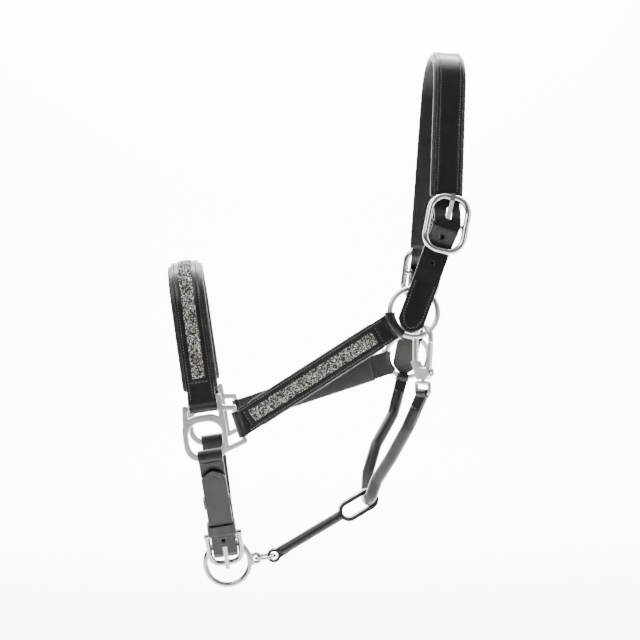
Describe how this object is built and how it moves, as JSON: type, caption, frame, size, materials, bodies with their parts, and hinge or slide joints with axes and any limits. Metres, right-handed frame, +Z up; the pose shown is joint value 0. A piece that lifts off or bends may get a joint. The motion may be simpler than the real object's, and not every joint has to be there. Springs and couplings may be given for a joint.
{
  "type": "leather headcollar",
  "caption": "Padded black leather horse headcollar with crystal-inlaid noseband and cheekpieces, steel buckles, rings, lead ring and snap hook.",
  "frame": {"origin": "poll seat: the inner face of the padded crown at its highest point, in the middle plane", "axes": "+Z up, -X towards the nose, -Y towards the near (left) side of the horse"},
  "size_m": [0.3103, 0.1784, 0.5662],
  "materials": {
    "black_leather": "smooth, soft sheen",
    "lining_leather": "soft, matt",
    "padding": "soft, matt, puckered",
    "cord": "twisted cotton",
    "crystals": "crystal grains on fabric",
    "satin_steel": "satin",
    "dark_steel": "polished, darker",
    "polished_steel": "polished"
  },
  "bodies": {
    "root": {"back_strap": "black_leather", "back_strap_core": "cord", "chin_buckle_frame": "dark_steel", "chin_fixed_keeper": "black_leather", "crown_lining": "lining_leather", "crown_padding": "padding", "crown_strap": "black_leather", "far_cheek_inlay": "crystals", "far_cheek_lining": "lining_leather", "far_cheek_padding": "padding", "far_cheek_strap": "black_leather", "far_chin_strap": "black_leather", "far_crown_buckle_frame": "polished_steel", "far_crown_tab": "black_leather", "far_side_fitting": "satin_steel", "near_cheek_inlay": "crystals", "near_cheek_lining": "lining_leather", "near_cheek_padding": "padding", "near_cheek_strap": "black_leather", "near_chin_strap": "black_leather", "near_crown_buckle_frame": "polished_steel", "near_crown_tab": "black_leather", "near_side_fitting": "satin_steel", "noseband_inlay": "crystals", "noseband_lining": "lining_leather", "noseband_padding": "padding", "noseband_strap": "black_leather", "snap_eye": "satin_steel", "throat_strap": "black_leather", "throat_strap_core": "cord"},
    "near_ring": {"near_upper_ring": "satin_steel"},
    "far_ring": {"far_upper_ring": "satin_steel"},
    "near_tongue": {"near_crown_buckle_tongue": "polished_steel"},
    "far_tongue": {"far_crown_buckle_tongue": "polished_steel"},
    "chin_tongue": {"chin_buckle_tongue": "dark_steel"},
    "runner": {"chin_runner_keeper": "black_leather"},
    "lead_ring": {"lead_ring": "dark_steel"},
    "ring_link": {"ring_link": "dark_steel"},
    "snap": {"snap_body": "satin_steel", "snap_gate_pin": "satin_steel", "snap_gate_spring": "satin_steel"},
    "snap_gate": {"snap_gate": "satin_steel"}
  },
  "joints": [
    {"name": "near_ring_turn", "type": "hinge", "parent": "root", "child": "near_ring", "pos_m": [-0.04327, -0.07315, -0.26465], "axis": [0.0068, -0.9914, 0.1303], "continuous": true},
    {"name": "far_ring_turn", "type": "hinge", "parent": "root", "child": "far_ring", "pos_m": [-0.02749, 0.08021, -0.31913], "axis": [0.0068, 0.9914, 0.1303], "continuous": true},
    {"name": "near_tongue_lift", "type": "hinge", "parent": "root", "child": "near_tongue", "pos_m": [-0.00923, -0.06671, -0.17603], "axis": [0.9782, -0.0204, -0.2066], "range_deg": [0, 7]},
    {"name": "far_tongue_lift", "type": "hinge", "parent": "root", "child": "far_tongue", "pos_m": [-0.01182, 0.07324, -0.22553], "axis": [-0.9941, -0.0074, 0.1084], "range_deg": [0, 7]},
    {"name": "chin_tongue_lift", "type": "hinge", "parent": "root", "child": "chin_tongue", "pos_m": [-0.23619, -0.03019, -0.49627], "axis": [-0.9903, 0, -0.1392], "range_deg": [0, 6]},
    {"name": "runner_slide", "type": "slide", "parent": "root", "child": "runner", "axis": [-0.1324, -0.309, 0.9418], "range_m": [0, 0.016]},
    {"name": "lead_ring_swing", "type": "hinge", "parent": "root", "child": "lead_ring", "pos_m": [-0.23466, -0.012, -0.50716], "axis": [0.9903, 0, 0.1392], "range_deg": [-7, 7]},
    {"name": "ring_link_turn", "type": "hinge", "parent": "root", "child": "ring_link", "pos_m": [-0.18273, -0.012, -0.5235], "axis": [-0.1392, 0, 0.9903], "range_deg": [-11, 11]},
    {"name": "snap_swivel", "type": "hinge", "parent": "root", "child": "snap", "pos_m": [-0.03415, -0.07603, -0.33199], "axis": [0, 0, 1], "range_deg": [-4, 4]},
    {"name": "snap_gate_open", "type": "hinge", "parent": "snap", "child": "snap_gate", "pos_m": [-0.02927, -0.08185, -0.32399], "axis": [-0.766, -0.6428, 0], "range_deg": [0, 20], "stiffness_Nm_per_rad": 0.02, "springref_deg": -17.19}
  ],
  "couplings": [
    {"joint": "ring_link_turn", "follows": "lead_ring_swing", "ratio": -1.2316}
  ]
}
